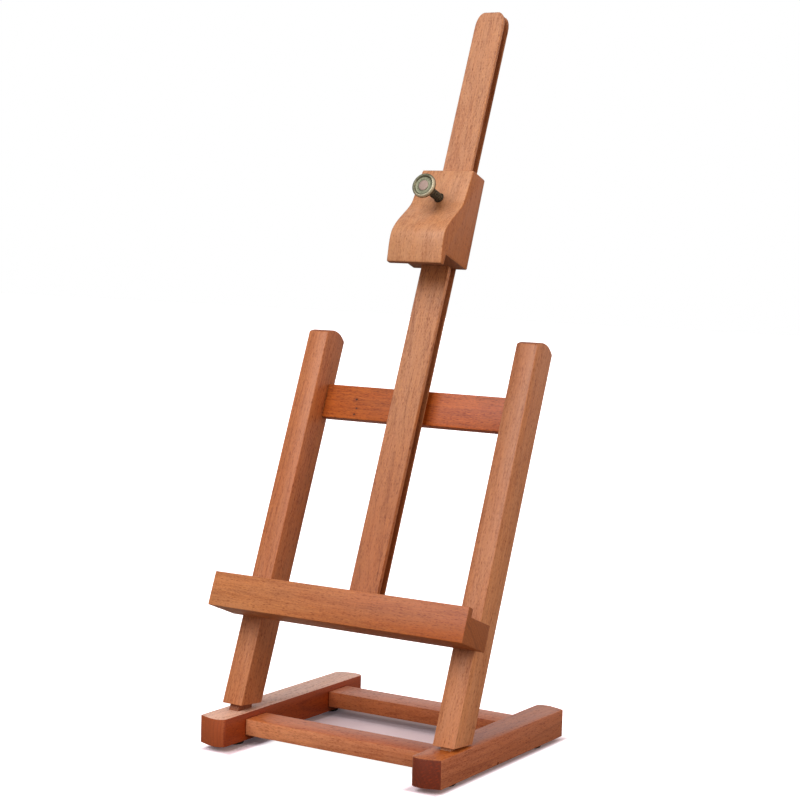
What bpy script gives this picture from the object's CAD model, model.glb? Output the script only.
"""Small beech table easel: materials, thumb screw, light, floor and camera around its CAD pieces.

X runs to the right, Y to the back, Z up, and the floor is at Z = 0. The base lies flat. The
uprights, mast, ledge and clamp lean back by LEAN. Lengths are in metres; textures work in mm.
"""

import bpy
import bmesh
import math
from mathutils import Matrix, Vector


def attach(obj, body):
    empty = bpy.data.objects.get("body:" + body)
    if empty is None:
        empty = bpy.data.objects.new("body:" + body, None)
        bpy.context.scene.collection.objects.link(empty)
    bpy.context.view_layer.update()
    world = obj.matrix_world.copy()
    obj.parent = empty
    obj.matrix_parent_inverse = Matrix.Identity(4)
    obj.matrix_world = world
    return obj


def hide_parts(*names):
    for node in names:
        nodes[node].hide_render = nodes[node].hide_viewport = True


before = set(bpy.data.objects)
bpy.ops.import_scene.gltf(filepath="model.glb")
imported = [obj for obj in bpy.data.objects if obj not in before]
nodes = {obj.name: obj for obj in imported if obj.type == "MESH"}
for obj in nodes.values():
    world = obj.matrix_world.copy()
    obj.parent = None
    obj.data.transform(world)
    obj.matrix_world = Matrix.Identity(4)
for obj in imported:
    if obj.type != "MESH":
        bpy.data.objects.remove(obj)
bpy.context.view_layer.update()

bpy.context.scene.view_settings.view_transform = "Standard"
bpy.context.scene.view_settings.look = "None"

# --------------------------------------------------------------- leaning frame
MM = 1000.0                                                # millimetres in a metre
LEAN = math.radians(20.7)
UP_AX = Vector((0.0, math.sin(LEAN), math.cos(LEAN)))      # up the lean
IN_AX = Vector((0.0, math.cos(LEAN), -math.sin(LEAN)))     # into the frame, to the back
X_AX = Vector((1.0, 0.0, 0.0))
LEAN_ORIGIN = Vector((0.0, -0.0893811, 0.024))             # front plane at the runners' top
SCREW_UP = 0.3897                                          # thumb screw's axis, up the lean


# ---------------------------------------------------------------- node helpers
class Nodes:
    """Short calls that add nodes to a material or world and return output sockets."""

    def __init__(self, owner):
        self.owner = owner
        owner.use_nodes = True
        self.tree = owner.node_tree

    def add(self, kind, **props):
        node = self.tree.nodes.new(kind)
        for key, value in props.items():
            setattr(node, key, value)
        return node

    def put(self, socket, value):
        """Link a socket or set a value; None leaves the input alone."""
        if isinstance(value, bpy.types.NodeSocket):
            self.tree.links.new(value, socket)
        elif value is not None:
            if hasattr(socket.default_value, "__len__"):
                value = tuple(value)
                if len(socket.default_value) == 4 and len(value) == 3:
                    value = value + (1.0,)
            socket.default_value = value

    def fill(self, node, values):
        for key, value in values.items():
            self.put(node.inputs[key], value)
        return node

    def math(self, op, *values, clamp=False):
        node = self.add("ShaderNodeMath", operation=op, use_clamp=clamp)
        return self.fill(node, dict(enumerate(values))).outputs[0]

    def mul(self, a, b):
        return self.math("MULTIPLY", a, b)

    def sum(self, first, *more):
        for value in more:
            first = self.math("ADD", first, value)
        return first

    def weigh(self, *terms):
        """Sum of (value, weight) pairs and plain values."""
        return self.sum(*[self.mul(*term) if isinstance(term, tuple) else term
                          for term in terms])

    def swing(self, value, gain):
        """A 0 to 1 value centred on zero, times gain."""
        return self.mul(self.math("SUBTRACT", value, 0.5), gain)

    def vec(self, op, a, b=None):
        node = self.fill(self.add("ShaderNodeVectorMath", operation=op), {0: a, 1: b})
        return node.outputs["Value" if op in ("DOT_PRODUCT", "LENGTH") else 0]

    def join(self, *xyz):
        return self.fill(self.add("ShaderNodeCombineXYZ"), dict(enumerate(xyz))).outputs[0]

    def split(self, vector):
        return tuple(self.fill(self.add("ShaderNodeSeparateXYZ"), {0: vector}).outputs)

    def stretch(self, axes, along, across):
        """Texture point from (along, radial, tangential), with its frequencies per mm."""
        return self.join(*[self.mul(axis, rate)
                           for axis, rate in zip(axes, (along, across, across))])

    def step(self, value, lo, hi, out=(0.0, 1.0)):
        """Smooth step from out[0] at lo to out[1] at hi."""
        node = self.add("ShaderNodeMapRange", interpolation_type="SMOOTHSTEP")
        return self.fill(node, {"Value": value, "From Min": lo, "From Max": hi,
                                "To Min": out[0], "To Max": out[1]}).outputs[0]

    def noise(self, vector, scale=1.0, detail=2.0, rough=0.5, output=0):
        return self.fill(self.add("ShaderNodeTexNoise"),
                         {"Vector": vector, "Scale": scale, "Detail": detail,
                          "Roughness": rough}).outputs[output]

    def cells(self, vector):
        node = self.add("ShaderNodeTexVoronoi", feature="F1")
        self.fill(node, {"Vector": vector, "Scale": 1.0, "Randomness": 1.0})
        return node.outputs["Distance"], node.outputs["Color"]

    def mix(self, fac, a, b, blend="MIX"):
        node = self.add("ShaderNodeMix", data_type="RGBA", blend_type=blend, clamp_factor=True)
        values = {"Factor_Float": fac, "A_Color": a, "B_Color": b}
        for socket in node.inputs:
            self.put(socket, values.get(socket.identifier))
        return next(s for s in node.outputs if s.identifier == "Result_Color")

    def tone(self, fac, col, factor):
        """Multiply a colour by factor where fac is 1."""
        return self.mix(fac, col, self.mix(1.0, col, factor, "MULTIPLY"))

    def ramp(self, fac, stops):
        """Grey ramp through (position, value) stops."""
        node = self.fill(self.add("ShaderNodeValToRGB"), {0: fac})
        elements = node.color_ramp.elements
        for i, (position, value) in enumerate(stops):
            element = elements[i] if i < 2 else elements.new(position)
            element.position = position
            element.color = (value, value, value, 1.0)
        return node.outputs[0]

    def object_mm(self, lean=True, coords=None):
        """Object coordinates in mm, turned into (across, into, up the lean) if asked."""
        coords = coords or self.add("ShaderNodeTexCoord")
        node = self.add("ShaderNodeMapping")
        self.fill(node, {"Vector": coords.outputs["Object"], "Scale": (MM, MM, MM)})
        if lean:
            self.fill(node, {"Rotation": (LEAN, 0.0, 0.0),
                             "Location": (0.0, -MM * LEAN_ORIGIN.dot(IN_AX),
                                          -MM * LEAN_ORIGIN.dot(UP_AX))})
        return node.outputs[0]

    def edges(self, radius):
        """1 along the piece's edges, 0 on its faces."""
        bevel = self.fill(self.add("ShaderNodeBevel", samples=4), {"Radius": radius})
        geometry = self.add("ShaderNodeNewGeometry")
        same = self.vec("DOT_PRODUCT", bevel.outputs[0], geometry.outputs["True Normal"])
        return self.step(self.math("SUBTRACT", 1.0, same), lo=0.01, hi=0.22)

    def finish(self, color, roughness, height, bump, distance, metallic=0.0, specular=0.5,
               coat=0.0, coat_rough=0.3, emission=None, emission_strength=None):
        out = self.add("ShaderNodeOutputMaterial")
        shader = self.add("ShaderNodeBsdfPrincipled")
        relief = self.add("ShaderNodeBump")
        self.fill(relief, {"Strength": bump, "Distance": distance, "Height": height})
        self.fill(shader, {
            "Base Color": color, "Roughness": roughness, "Metallic": metallic,
            "Specular IOR Level": specular, "Coat Weight": coat, "Coat Roughness": coat_rough,
            "Normal": relief.outputs[0], "Emission Color": emission,
            "Emission Strength": emission_strength})
        self.put(out.inputs[0], shader.outputs[0])
        return self.owner


def material_nodes(name):
    t = Nodes(bpy.data.materials.new(name))
    t.tree.nodes.clear()
    return t


def shade(colour, factors):
    return tuple(v * k for v, k in zip(colour, factors))


# ----------------------------------------------------------------------- beech
# texture shift per unit of seed, along the grain and in the two directions across it
SEED_ALONG, SEED_RADIAL, SEED_TANG = 171.3, 13.7, 29.1


def grain_axes(t, grain, lean, cut, seed):
    """(along, radial, tangential) coordinates with and without the fibres' slow wander,
    the wander along the grain, and the grain's direction."""
    x, y, z = t.split(t.object_mm(lean))
    along, first, second, axis = {
        "x": (x, y, z, X_AX), "y": (y, z, x, Vector((0.0, 1.0, 0.0))), "s": (z, y, x, UP_AX)}[grain]
    cos_cut, sin_cut = math.cos(cut), math.sin(cut)
    radial = t.weigh((first, cos_cut), (second, sin_cut))
    tang = t.weigh((first, -sin_cut), (second, cos_cut))
    along = t.sum(along, seed * SEED_ALONG)
    straight = (along, t.sum(radial, seed * SEED_RADIAL), t.sum(tang, seed * SEED_TANG))

    wander = t.noise(t.stretch(straight, along=0.011, across=0.035), output="Color")
    drift_radial, drift_tang, drift_along = t.split(wander)
    radial = t.sum(radial, t.swing(drift_radial, gain=5.0))
    tang = t.sum(tang, t.swing(drift_tang, gain=5.0))
    return (along, radial, tang), straight, t.swing(drift_along, gain=6.0), axis


def late_wood(t, axes, seed, pith, tilt, rings):
    """Dark late wood of growth rings about a pith line outside the piece."""
    along, radial, tang = axes
    from_pith = t.sum(radial, pith[0], t.mul(along, tilt), -seed * SEED_ALONG * tilt)
    beside_pith = t.sum(tang, pith[1])
    radius = t.math("SQRT", t.weigh((from_pith, from_pith), (beside_pith, beside_pith)))
    uneven = t.noise(t.join(t.mul(radius, 0.22), seed, 0.0))
    phase = t.math("FRACT", t.weigh((radius, 1.0 / rings), (uneven, 2.2)))
    late = t.ramp(phase, [(0.0, 0.10), (0.35, 0.0), (0.80, 0.55), (0.93, 1.0), (1.0, 0.10)])
    # some rings are stronger than others
    varied = t.noise(t.join(t.mul(radius, 0.17), t.mul(along, 0.004), seed + 5.0))
    return t.mul(late, t.step(varied, lo=0.30, hi=0.70, out=(0.35, 1.0)))


def rays(t, axes, bend, size, core, rim, shift):
    """Lens-shaped rays, thin across: dashes on flat-sawn faces, patches on quartered ones.

    size is (along, radial, tangential) in mm; a ray fades out from core to rim."""
    along, radial, tang = axes
    distance, colour = t.cells(t.join(t.mul(t.sum(along, bend), 1.0 / size[0]),
                                      t.mul(radial, 1.0 / size[1]),
                                      t.sum(t.mul(tang, 1.0 / size[2]), shift)))
    chance = t.split(colour)[0]
    return t.mul(t.step(distance, lo=core, hi=rim, out=(1.0, 0.0)),
                 t.step(chance, lo=0.15, hi=0.95, out=(0.15, 1.0)))


def pin_knots(t, col, pos, knots, tint):
    """Dark spots with a brown halo; returns the colour and the dents' mask."""
    dent = None
    for x, depth, up, radius in knots:
        offset = t.vec("SUBTRACT", pos, (x, depth, up))
        distance = t.vec("LENGTH", t.vec("MULTIPLY", offset, (0.75, 0.2, 1.0)))
        spot = t.step(distance, lo=radius * 0.45, hi=radius * 1.25, out=(1.0, 0.0))
        halo = t.step(distance, lo=radius, hi=radius * 3.2, out=(0.45, 0.0))
        col = t.mix(halo, col, shade(tint, (0.62, 0.42, 0.32)))
        col = t.mix(spot, col, (0.035, 0.012, 0.006))
        dent = spot if dent is None else t.math("MAXIMUM", dent, spot)
    return col, dent


def shade_by_place(t, col, pos, patch, tenon, fade, middle, hollow):
    """Bare tenon, slow change of colour along the board and dark oil in a groove."""
    if tenon is not None:
        shoulder, slope = tenon
        _, depth, up = t.split(pos)
        under = t.step(t.sum(up, t.mul(depth, -slope)), lo=shoulder - 0.1, hi=shoulder - 0.4)
        col = t.tone(under, col, (0.50, 0.38, 0.32))

    if fade is not None:
        axis_no, lo, hi, at_lo, at_hi = fade
        where = t.sum(t.split(pos)[axis_no], t.swing(patch, gain=40.0))
        col = t.mix(1.0, col, t.mix(t.step(where, lo, hi), at_lo, at_hi), "MULTIPLY")
        if middle is not None:
            centre, half, factor = middle
            band = t.mul(t.step(where, centre - half, centre), t.step(where, centre + half, centre))
            col = t.tone(band, col, factor)

    if hollow is not None:
        front, back = hollow
        blur = 0.15
        depth = t.split(pos)[1]
        inside = t.mul(t.step(depth, front, front + blur), t.step(depth, back + blur, back))
        inside = t.mul(inside, t.step(depth, lo=front + 1.2, hi=back, out=(0.95, 0.25)))
        col = t.tone(inside, col, (0.50, 0.31, 0.22))
    return col


def beech(name, grain, seed, tint, end=(0.62, 0.50, 0.44), lean=True, cut=0.0,
          pith=(46.0, 8.0), tilt=0.02, rings=2.6, ring_depth=0.5, fleck=1.0, wear=0.35,
          knots=(), hollow=None, fade=None, dash=1.0, streak=1.0, tones=(), tenon=None,
          end_gain=1.0, middle=None):
    """Steamed, oiled beech. Lengths are in mm, colours linear RGB.

    grain: axis the fibres follow, 'x', 'y' or 's' (up the lean)
    tint, end: main colour, and its factor on end grain
    cut: turns the growth rings about the grain; at 0 the front or top face is flat-sawn
    pith, tilt: the rings' centre (radial, tangential), and its slope along the grain
    rings, ring_depth: ring spacing and contrast
    fleck, dash, streak: ray contrast, ray length, fibre contrast
    wear, end_gain: paleness of rubbed edges, strength of rays in the end grain
    knots: (across, into, up, radius) of each pin knot
    hollow: (front, back) depths of a groove
    tenon: (height up the lean at depth 0, rise per depth) of the shoulder line
    fade: (axis number, lo, hi, factor at lo, factor at hi)
    middle: (centre, half width, factor) of a band along the fade's axis
    tones: (direction, factor) for faces that took the oil differently"""
    t = material_nodes(name)
    warped, straight, bend, axis = grain_axes(t, grain, lean, cut, seed)
    late = late_wood(t, warped, seed, pith, tilt, rings)
    big = rays(t, warped, bend, size=(4.6 * dash, 3.6, 1.00), core=0.12, rim=0.48, shift=3.7)
    small = rays(t, warped, bend, size=(2.3 * dash, 1.9, 0.55), core=0.12, rim=0.52, shift=11.3)

    # fibre streaks, fine pores and slow drifts of tone
    fibre = t.noise(t.stretch(warped, along=0.055, across=0.62), detail=4.0, rough=0.66)
    pores = t.noise(t.stretch(warped, along=0.45, across=5.5))
    drift = t.noise(t.stretch(straight, along=0.010, across=0.11), detail=3.0)
    patch = t.noise(t.stretch(straight, along=0.030, across=0.16))

    light = shade(tint, (1.15, 1.18, 1.20))
    dark = shade(tint, (0.60, 0.44, 0.36))
    amount = t.sum(
        t.mul(late, ring_depth * 0.62), t.mul(big, 0.50 * fleck), t.mul(small, 0.56 * fleck),
        t.swing(fibre, 1.35 * streak), t.swing(pores, 0.85), t.swing(drift, 1.00))
    base_amount = 0.11 - 0.10 * ring_depth
    col = t.mix(t.math("ADD", amount, base_amount, clamp=True), light, dark)
    # warm drifts, then pink ones
    col = t.tone(t.step(patch, lo=0.35, hi=0.68, out=(0.0, 0.55)), col, (1.03, 0.93, 0.80))
    col = t.tone(t.step(drift, lo=0.42, hi=0.30, out=(0.0, 0.45)), col, (1.02, 1.02, 1.13))

    # short pale ochre flecks between the dark ones
    along, radial, tang = warped
    pale = t.noise(t.join(t.mul(along, 0.34), t.mul(radial, 1.5), t.mul(tang, 2.0)), rough=0.55)
    col = t.tone(t.step(pale, lo=0.52, hi=0.66, out=(0.0, min(1.0, 0.62 * fleck))), col,
                 (1.17, 1.22, 1.06))

    coords = t.add("ShaderNodeTexCoord")
    placed = knots or hollow or fade or tenon
    pos = t.object_mm(lean, coords) if placed else None
    normal = coords.outputs["Normal"]
    col, dent = pin_knots(t, col, pos, knots, tint)

    # end grain soaks up the oil: darker, duller, with rings and rays showing
    facing = t.math("ABSOLUTE", t.vec("DOT_PRODUCT", normal, tuple(axis)))
    ends = t.step(facing, lo=0.55, hi=0.93)
    grit = t.noise(t.stretch(warped, along=1.0, across=3.5), detail=3.0)
    soaked = shade(tint, end)
    extra = end_gain - 1.0
    end_amount = t.weigh((late, 0.55), (grit, 0.55), (big, -0.55 * end_gain),
                         (small, -0.35 * extra), 0.12 + 0.12 * extra)
    end_amount = t.math("MINIMUM", t.math("MAXIMUM", end_amount, 0.0), 1.0)
    end_col = t.mix(end_amount, shade(soaked, (1.25,) * 3), shade(soaked, (0.62,) * 3))
    for direction, factor in tones:
        turned_to = t.vec("DOT_PRODUCT", normal, direction)
        col = t.tone(t.step(turned_to, lo=0.60, hi=0.90), col, factor)
    col = t.mix(ends, col, end_col)
    col = shade_by_place(t, col, pos, patch, tenon, fade, middle, hollow)

    # handling: edges rubbed a little paler, in places
    rub = t.edges(radius=0.0011)
    handled = t.noise(t.stretch(straight, along=0.05, across=0.08), detail=3.0)
    worn = t.mul(rub, t.step(handled, lo=0.40, hi=0.66))
    col = t.mix(t.mul(worn, wear), col, shade(tint, (1.28, 1.38, 1.45)))

    rough = t.weigh(0.40, (fibre, 0.12), (big, 0.10), (ends, 0.22), (rub, -0.04))
    height = t.weigh((fibre, 0.55), (pores, 0.35), (big, -0.45), (small, -0.25),
                     (late, -0.25), (t.mul(grit, ends), 0.5))
    if dent is not None:
        height = t.weigh(height, (dent, -2.5))
    return t.finish(col, rough, height, bump=0.55, distance=0.00010, specular=0.42,
                    coat=0.06, coat_rough=0.34)


RIGHT, TOP, BELOW = (1.0, 0.0, 0.0), (0.0, 0.0, 1.0), tuple(-UP_AX)
# piece: how its beech differs; the keys are explained in beech()
WOOD = {
    "upright_left": dict(
        grain="s", seed=1.0, tint=(0.408, 0.140, 0.052), pith=(60, 14), tilt=0.012, cut=0.45,
        tenon=(5.3, 0.275), streak=1.2, fleck=1.15,
        fade=(2, 20.0, 300.0, (1.07, 1.17, 1.34), (1.05, 1.04, 1.02)),
        middle=(157.0, 110.0, (0.92, 0.83, 0.74))),
    "upright_right": dict(
        grain="s", seed=2.0, tint=(0.410, 0.160, 0.072), pith=(52, -6), tilt=-0.015, cut=-0.5,
        wear=0.75, streak=1.2, fleck=1.1, tones=((RIGHT, (1.17, 1.29, 1.34)),),
        fade=(2, 20.0, 300.0, (1.08, 1.13, 1.20), (0.86, 0.81, 0.73))),
    "upper_crossbar": dict(
        grain="x", seed=3.0, tint=(0.400, 0.089, 0.014), pith=(34, 0), tilt=0.03,
        rings=3.2, ring_depth=0.6, fleck=1.6, streak=1.5, dash=1.15,
        fade=(0, -90.0, 90.0, (0.99, 1.08, 1.05), (0.98, 0.84, 0.32)),
        knots=((-52.0, 16.0, 241.6, 0.85), (-50.4, 16.0, 235.0, 0.65),
               (-51.4, 16.0, 230.2, 0.7))),
    "canvas_ledge": dict(
        grain="x", seed=4.0, tint=(0.380, 0.120, 0.037), pith=(70, 5), tilt=0.008,
        ring_depth=0.3, fleck=1.35, wear=0.6, end=(0.94, 1.25, 3.0),
        fade=(0, -110.0, 110.0, (1.19, 1.44, 1.75), (0.84, 0.62, 0.24))),
    "mast": dict(
        grain="s", seed=5.0, tint=(0.434, 0.202, 0.107), pith=(30, 2), tilt=0.05, rings=3.4,
        ring_depth=0.8, fleck=1.4, streak=1.4, cut=0.3, hollow=(2.75, 9.22),
        fade=(2, 90.0, 480.0, (0.80, 0.55, 0.34), (1.05, 0.98, 0.87)),
        middle=(262.0, 150.0, (1.05, 1.18, 1.33))),
    "mast_spacer": dict(
        grain="x", seed=11.0, tint=(0.386, 0.120, 0.045), pith=(40, 6), tilt=0.01),
    "canvas_clamp": dict(
        grain="s", seed=6.0, tint=(0.484, 0.226, 0.113), pith=(75, 18), tilt=0.02,
        ring_depth=0.35, fleck=1.05, streak=1.25, cut=0.75, dash=0.9, wear=0.6,
        tones=((RIGHT, (0.77, 0.58, 0.36)), (BELOW, (1.45, 1.75, 2.1)))),
    "runner_left": dict(
        grain="y", lean=False, seed=7.0, tint=(0.370, 0.100, 0.038), pith=(38, 20),
        tilt=0.015, end=(0.87, 0.62, 0.33), cut=1.4, ring_depth=0.9, fleck=1.3,
        tones=((RIGHT, (0.78, 0.46, 0.15)), (TOP, (1.78, 4.1, 8.8)))),
    "runner_right": dict(
        grain="y", lean=False, seed=8.0, tint=(0.378, 0.127, 0.059), pith=(30, -26),
        tilt=-0.012, end=(0.42, 0.150, 0.043), cut=1.1, ring_depth=0.8, fleck=1.4,
        wear=1.0, end_gain=2.6, tones=((TOP, (0.96, 0.78, 0.33)),)),
    "front_rail": dict(
        grain="x", lean=False, seed=9.0, tint=(0.463, 0.168, 0.076), pith=(44, 10),
        tilt=0.015, fade=(0, -80.0, 80.0, (1.22, 1.33, 1.42), (0.88, 0.81, 0.78)),
        fleck=1.15, tones=((TOP, (0.87, 0.64, 0.36)),)),
    "rear_rail": dict(
        grain="x", lean=False, seed=10.0, tint=(0.440, 0.130, 0.050), pith=(50, -9),
        tilt=-0.012, fleck=1.25, tones=((TOP, (1.09, 1.36, 1.95)),)),
}


def set_material(obj, mat):
    obj.data.materials.clear()
    obj.data.materials.append(mat)


for piece, how in WOOD.items():
    set_material(nodes[piece], beech("wood_" + piece, **how))

dowel = beech("wood_dowels", grain="x", seed=12.0, tint=(0.60, 0.40, 0.22), lean=False,
              end=(0.8, 0.7, 0.6))
for piece, obj in nodes.items():
    if "dowel" in piece:
        set_material(obj, dowel)


# ----------------------------------------------------------- metals and rubber
def brass(name):
    """Old brass: tarnished brown in the hollows, greenish ring, rubbed pinkish centre."""
    t = material_nodes(name)
    pos = t.object_mm()
    x, depth, up = t.split(pos)
    up = t.math("SUBTRACT", up, MM * SCREW_UP)
    radius = t.math("SQRT", t.weigh((x, x), (up, up)))
    blot = t.noise(t.vec("ADD", pos, (3.0, 7.0, 1.0)), scale=0.55, detail=4.0, rough=0.6)
    fine = t.noise(pos, scale=3.2, detail=3.0)

    # masks: sunk ring and centre disc of the front face
    col = t.mix(t.step(blot, lo=0.36, hi=0.64), (0.20, 0.195, 0.13), (0.10, 0.10, 0.065))
    ring = t.mul(t.step(radius, lo=3.7, hi=4.3), t.step(radius, lo=7.4, hi=6.7))
    disc = t.step(radius, lo=4.2, hi=3.5)
    front = t.step(depth, lo=-38.2, hi=-38.7)
    for mask, dull, clear in ((ring, (0.12, 0.130, 0.078), (0.28, 0.28, 0.205)),
                              (disc, (0.44, 0.32, 0.29), (0.34, 0.26, 0.23))):
        col = t.mix(t.mul(mask, front), col, t.mix(t.step(fine, lo=0.35, hi=0.65), dull, clear))

    # browner behind the front face, nearly black deep in the hole
    back = t.step(depth, lo=-38.4, hi=-37.0)
    col = t.mix(t.mul(back, 0.9), col, (0.105, 0.062, 0.026))
    deep = t.step(depth, lo=-32.5, hi=-27.5)
    col = t.mix(t.mul(deep, 0.9), col, (0.014, 0.010, 0.008))

    # the rim is rubbed bright towards the lower right
    rub = t.edges(radius=0.0006)
    edge = t.mul(t.step(radius, lo=7.2, hi=8.2), t.step(depth, lo=-38.0, hi=-38.8))
    worn_side = t.step(t.weigh((x, 0.7), (up, -0.7), (blot, 8.0)), lo=1.0, hi=8.0)
    edge = t.mul(edge, worn_side)
    worn = t.math("MAXIMUM", t.mul(t.mul(rub, 0.6), worn_side), t.mul(edge, 0.8))
    wear = 1.0
    col = t.mix(t.mul(worn, wear), col, (0.58, 0.52, 0.38))
    rough = t.weigh(0.38, (blot, 0.26), (t.mul(disc, front), 0.14), (back, 0.12))
    return t.finish(col, rough, t.weigh((blot, 0.5), (fine, 0.6)), bump=0.35,
                    distance=0.00008, metallic=0.72)


def steel(name):
    """Zinc-grey steel, blotched, with paler edges."""
    t = material_nodes(name)
    pos = t.object_mm(lean=False)
    blot = t.noise(pos, scale=0.9, detail=4.0, rough=0.6)
    fine = t.noise(pos, scale=6.0)
    col = t.mix(t.step(blot, lo=0.35, hi=0.68), (0.60, 0.60, 0.58), (0.44, 0.44, 0.45))
    col = t.mix(t.mul(t.edges(radius=0.0004), 0.5), col, (0.78, 0.78, 0.76))
    return t.finish(col, t.weigh(0.26, (blot, 0.22)), t.weigh(blot, (fine, 0.5)),
                    bump=0.3, distance=0.00006, metallic=1.0)


def rubber(name):
    """Black rubber with a little grey dust and paler edges."""
    t = material_nodes(name)
    pos = t.object_mm(lean=False)
    grain = t.noise(pos, scale=2.6, detail=5.0, rough=0.65)
    dust = t.noise(pos, scale=0.35, detail=3.0)
    col = t.mix(t.step(grain, lo=0.35, hi=0.7), (0.010, 0.010, 0.010), (0.022, 0.021, 0.020))
    col = t.mix(t.mul(t.step(dust, lo=0.45, hi=0.75), 0.35), col, (0.060, 0.055, 0.050))
    col = t.mix(t.mul(t.edges(radius=0.0006), 0.4), col, (0.050, 0.048, 0.046))
    return t.finish(col, t.weigh(0.68, (grain, 0.22)), grain, bump=0.5, distance=0.00012,
                    specular=0.35)


brass_mat, steel_mat, rubber_mat = brass("metal_brass"), steel("metal_zinc"), rubber("rubber_black")
for piece, obj in nodes.items():
    if piece in ("thumb_screw", "threaded_insert", "pressure_pad"):
        set_material(obj, brass_mat)
    elif "screw" in piece:
        set_material(obj, steel_mat)
    elif piece.startswith("foot_"):
        set_material(obj, rubber_mat)


# ------------------------------------------------------- smooth round surfaces
WELD = 0.000004
SHARP_ANGLE = math.radians(38.0)


def smoothing_group():
    """Joins the loose facets and shades them smooth, except over sharp corners."""
    group = bpy.data.node_groups.new("smooth_shading", "GeometryNodeTree")
    for way in ("INPUT", "OUTPUT"):
        group.interface.new_socket("Geometry", in_out=way, socket_type="NodeSocketGeometry")
    new, link = group.nodes.new, group.links.new
    source, result = new("NodeGroupInput"), new("NodeGroupOutput")
    weld = new("GeometryNodeMergeByDistance")
    weld.inputs["Distance"].default_value = WELD
    soft, sharp = new("GeometryNodeSetShadeSmooth"), new("GeometryNodeSetShadeSmooth")
    for node, domain, is_smooth in ((soft, "FACE", True), (sharp, "EDGE", False)):
        node.domain = domain
        node.inputs["Shade Smooth"].default_value = is_smooth
    angle = new("GeometryNodeInputMeshEdgeAngle")
    test = new("FunctionNodeCompare")
    test.data_type = "FLOAT"
    test.operation = "GREATER_THAN"
    test.inputs[1].default_value = SHARP_ANGLE
    link(source.outputs[0], weld.inputs["Geometry"])
    link(weld.outputs[0], soft.inputs["Geometry"])
    link(soft.outputs[0], sharp.inputs["Geometry"])
    link(angle.outputs["Unsigned Angle"], test.inputs[0])
    link(test.outputs[0], sharp.inputs["Selection"])
    link(sharp.outputs[0], result.inputs[0])
    return group


SMOOTH = smoothing_group()


def smooth(obj):
    stored = obj.data.attributes.get("custom_normal")
    if stored is not None:
        obj.data.attributes.remove(stored)
    obj.modifiers.new("smooth_shading", "NODES").node_group = SMOOTH


for obj in nodes.values():
    smooth(obj)

# ----------------------------------------------------------------- thumb screw
# heights are measured outwards from the leaning frame's front plane
SCREW_FACE, SCREW_TIP = 0.0400, 0.0018
TIP_RADIUS = 0.0018
TURN_STEPS = 60
PITCH, THREAD_DEPTH, CREST_RADIUS = 0.0010, 0.00058, 0.00325
THREAD_FLAT = 0.14                      # flat part of the crest and of the root
THREAD_START, THREAD_END = SCREW_TIP + 0.0004, SCREW_FACE - 0.0104
FIRST_RING = SCREW_TIP + 0.0006
RINGS_PER_PITCH = 8.0

# (radius, depth below the face), from the waisted neck over the rim to the centre
HEAD = [
    (0.0033, 0.0098), (0.0036, 0.0080), (0.0040, 0.0062), (0.0050, 0.0050),
    (0.0066, 0.0043), (0.0081, 0.0038), (0.0087, 0.0034), (0.0091, 0.0028),
    (0.0092, 0.0022), (0.0092, 0.0012), (0.0090, 0.0006), (0.0086, 0.0002),
    (0.0081, 0.0), (0.0076, 0.0), (0.0071, 0.0002), (0.0068, 0.0006),
    (0.0065, 0.0011), (0.0061, 0.0012), (0.0045, 0.0012), (0.0041, 0.0011),
    (0.0038, 0.0007), (0.0034, 0.0006), (0.0017, 0.0006)]
CENTRE_DEPTH = 0.0006


def thread_radius(z, turn):
    """Radius of the thread at height z; turn is the part of a full turn about the axis."""
    wave = abs((z / PITCH - turn) % 1.0 - 0.5) * 2.0       # 1 at the crest, 0 at the root
    shape = min(1.0, max(0.0, (wave - THREAD_FLAT) / (1.0 - 2.0 * THREAD_FLAT)))
    ease = (min(1.0, max(0.0, (z - THREAD_START) / PITCH))
            * min(1.0, max(0.0, (THREAD_END - z) / PITCH)))
    return CREST_RADIUS - THREAD_DEPTH * (1.0 - shape * ease)


def add_ring(bm, radii, z):
    angles = [math.tau * i / TURN_STEPS for i in range(TURN_STEPS)]
    return [bm.verts.new((r * math.cos(a), r * math.sin(a), z)) for r, a in zip(radii, angles)]


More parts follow.
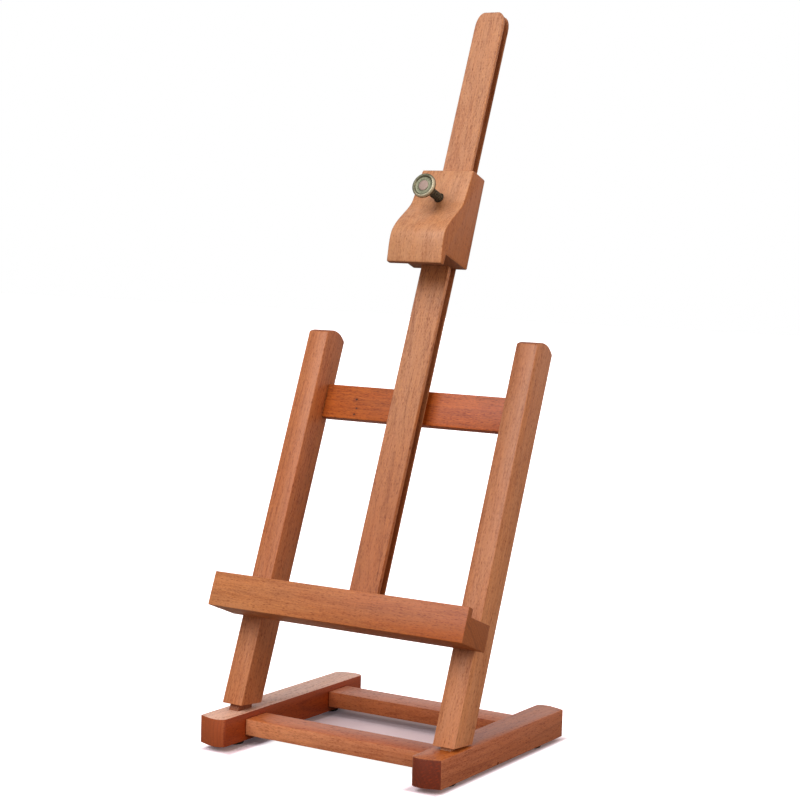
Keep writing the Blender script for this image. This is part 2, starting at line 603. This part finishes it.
def make_thumb_screw():
    """Head with raised rim and sunk ring, waisted neck and a cut thread down to the tip."""
    mesh = bpy.data.meshes.new("thumb_screw_turned")
    bm = bmesh.new()
    rings = [[bm.verts.new((0.0, 0.0, SCREW_TIP))],
             add_ring(bm, [TIP_RADIUS] * TURN_STEPS, SCREW_TIP)]
    z = FIRST_RING
    while z < THREAD_END:
        radii = [thread_radius(z, i / TURN_STEPS) for i in range(TURN_STEPS)]
        rings.append(add_ring(bm, radii, z))
        z += PITCH / RINGS_PER_PITCH
    for radius, depth in HEAD:
        rings.append(add_ring(bm, [radius] * TURN_STEPS, SCREW_FACE - depth))
    rings.append([bm.verts.new((0.0, 0.0, SCREW_FACE - CENTRE_DEPTH))])

    for lo, hi in zip(rings, rings[1:]):
        for i in range(TURN_STEPS):
            j = (i + 1) % TURN_STEPS
            if len(lo) == 1:
                bm.faces.new((lo[0], hi[j], hi[i]))
            elif len(hi) == 1:
                bm.faces.new((lo[i], lo[j], hi[0]))
            else:
                bm.faces.new((lo[i], lo[j], hi[j], hi[i]))
    bmesh.ops.recalc_face_normals(bm, faces=bm.faces)

    # Z of the turned body becomes the frame's outward axis
    out_ax = -IN_AX
    place = Matrix((X_AX, out_ax.cross(X_AX), out_ax)).transposed().to_4x4()
    place.translation = LEAN_ORIGIN + UP_AX * SCREW_UP
    bmesh.ops.transform(bm, matrix=place, verts=bm.verts)
    bm.to_mesh(mesh)
    bm.free()
    obj = bpy.data.objects.new("thumb_screw_turned", mesh)
    bpy.context.scene.collection.objects.link(obj)
    smooth(obj)
    mesh.materials.append(brass_mat)
    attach(obj, "screw")
    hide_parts("thumb_screw")


make_thumb_screw()


# ----------------------------------------------------------------------- stage
def floor_material():
    """White paper: bright to the eye, but giving back little light to the undersides."""
    t = material_nodes("floor_paper")
    pos = t.object_mm(lean=False)
    grain = t.noise(pos, scale=0.02, detail=4.0)
    seen = t.mix(t.step(grain, lo=0.3, hi=0.7), (0.90, 0.80, 0.90), (0.92, 0.82, 0.92))
    eye = t.add("ShaderNodeLightPath").outputs["Is Camera Ray"]
    col = t.mix(eye, (0.30, 0.27, 0.25), seen)

    # washed out to plain white, but for the shade inside the base and under the runners
    x, y, _ = t.split(pos)
    side = t.math("ABSOLUTE", x)
    outside = t.step(side, lo=94.5, hi=101.5)
    ends = t.math("MAXIMUM", t.step(y, lo=-109.0, hi=-116.0), t.step(y, lo=60.0, hi=68.0))
    between = t.math("MAXIMUM", t.step(y, lo=-25.0, hi=-48.0), t.step(y, lo=66.0, hi=84.0))
    runners = t.math("MAXIMUM", ends, t.step(side, lo=74.0, hi=66.0))
    away = t.math("MAXIMUM", outside, t.math("MINIMUM", runners, between))
    return t.finish(col, 0.9, grain, bump=0.03, distance=0.0002, specular=0.0,
                    emission=t.mix(away, (1.0, 0.84, 1.0), (1.0, 1.0, 1.0)),
                    emission_strength=t.mul(t.weigh((away, 0.9), 0.04), eye))


def make_floor():
    bpy.ops.mesh.primitive_plane_add(size=12.0, location=(0.0, 0.0, 0.0))
    floor = bpy.context.object
    floor.name = "floor"
    floor.data.materials.append(floor_material())


def make_world():
    """White to the eye. Polished faces mirror a bright backdrop behind and a dim room in front."""
    world = bpy.data.worlds.new("studio")
    bpy.context.scene.world = world
    t = Nodes(world)
    lit = t.tree.nodes["Background"]
    seen = t.fill(t.add("ShaderNodeBackground"), {0: (1.0, 1.0, 1.0), 1: 1.0})
    pick = t.add("ShaderNodeMixShader")
    path = t.add("ShaderNodeLightPath")
    y = t.split(t.add("ShaderNodeTexCoord").outputs["Generated"])[1]
    room, backdrop, ambient = (0.30, 0.28, 0.26), (0.74, 0.68, 0.70), (0.38, 0.319, 0.266)
    mirrored = t.mix(t.step(y, lo=-0.15, hi=0.45), room, backdrop)
    t.fill(lit, {0: t.mix(path.outputs["Is Glossy Ray"], ambient, mirrored), 1: 1.0})
    t.fill(pick, {0: path.outputs["Is Camera Ray"], 1: lit.outputs[0], 2: seen.outputs[0]})
    t.put(t.tree.nodes["World Output"].inputs[0], pick.outputs[0])


def add_light(name, kind, location, target, **settings):
    light = bpy.data.lights.new(name, kind)
    for key, value in settings.items():
        setattr(light, key, value)
    obj = bpy.data.objects.new(name, light)
    bpy.context.scene.collection.objects.link(obj)
    obj.location = location
    obj.rotation_euler = (Vector(target) - Vector(location)).to_track_quat("-Z", "Y").to_euler()


make_floor()
make_world()
EASEL_MIDDLE = (0.0, 0.0, 0.2)
add_light("key", "SUN", (-0.12, -0.72, 0.67), (0.0, 0.0, 0.0),
          energy=2.35, angle=math.radians(44.0), color=(1.0, 0.985, 0.965))
add_light("fill", "AREA", (2.3, -0.6, 1.0), EASEL_MIDDLE, shape="RECTANGLE",
          size=1.6, size_y=1.6, energy=26.0, color=(1.0, 0.78, 0.60))
add_light("rim", "AREA", (-1.1, 2.2, 0.45), EASEL_MIDDLE, shape="RECTANGLE",
          size=1.4, size_y=1.0, energy=1.4, color=(1.0, 0.97, 0.98))

# ---------------------------------------------------------------------- camera
CAMERA_PLACE = (0.732848, -1.1973446, 0.370262)
CAMERA_RIGHT = Vector((0.848966, 0.527772, 0.026700))
CAMERA_UP = Vector((-0.068397, 0.059641, 0.995874))
CAMERA_BACK = Vector((0.524002, -0.847289, 0.086731))

lens = bpy.data.cameras.new("camera")
lens.sensor_width = 36.0
lens.sensor_fit = "HORIZONTAL"
lens.lens = 88.13
lens.clip_start, lens.clip_end = 0.05, 60.0
camera = bpy.data.objects.new("camera", lens)
bpy.context.scene.collection.objects.link(camera)
turn = Matrix((CAMERA_RIGHT, CAMERA_UP, CAMERA_BACK)).transposed()
camera.matrix_world = Matrix.Translation(CAMERA_PLACE) @ turn.to_4x4()
bpy.context.scene.camera = camera

# -------------------------------------------------------------------- boundary
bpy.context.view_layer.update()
